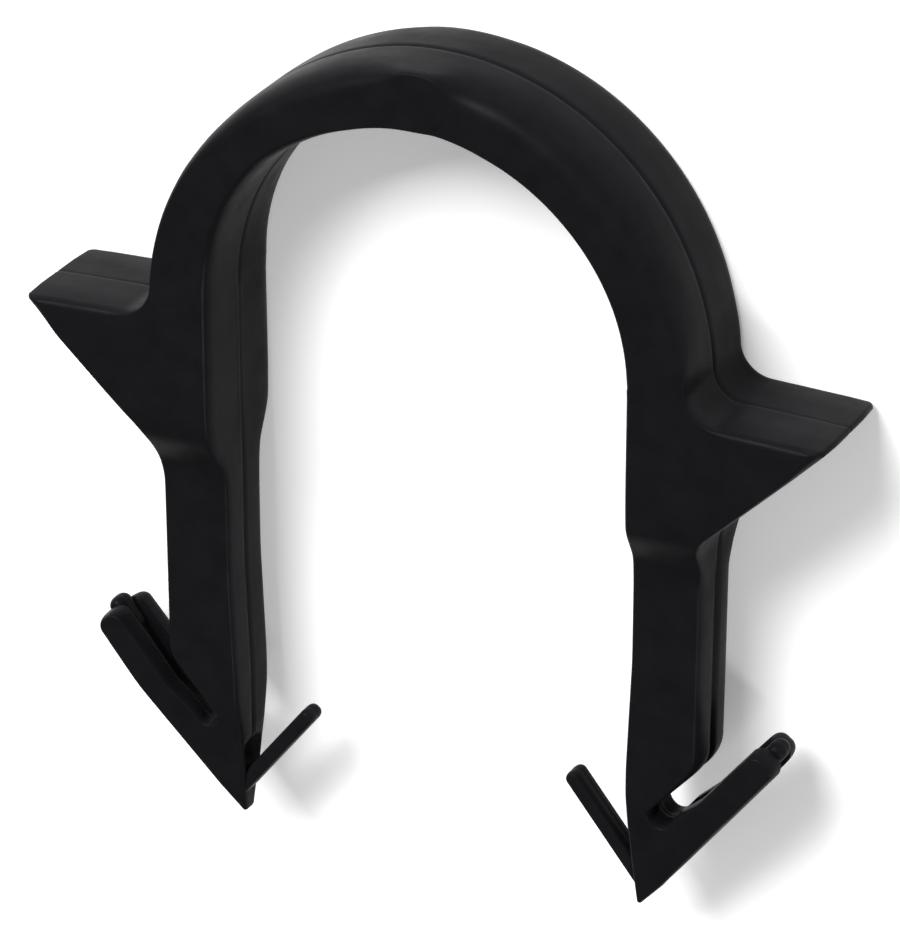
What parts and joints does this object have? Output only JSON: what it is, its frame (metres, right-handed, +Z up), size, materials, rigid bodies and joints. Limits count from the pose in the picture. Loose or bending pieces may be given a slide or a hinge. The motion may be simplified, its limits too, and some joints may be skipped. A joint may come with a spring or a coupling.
{
  "type": "underfloor heating pipe staple",
  "caption": "One-piece plastic U-shaped staple with driving shoulders and barbed arrow feet, for holding an underfloor heating pipe on an insulation board.",
  "frame": {"origin": "on the axis of the pipe under the half-round bow, in the parting plane at half the staple's thickness", "axes": "+X across the two legs, +Y from the feet towards the bow, +Z up through the thickness, along the pipe's axis; the staple lies on its back face"},
  "size_m": [0.0398, 0.0404, 0.0064],
  "materials": {
    "staple": "black moulded plastic with a soft sheen"
  },
  "bodies": {
    "root": {"staple": "staple"}
  },
  "joints": []
}
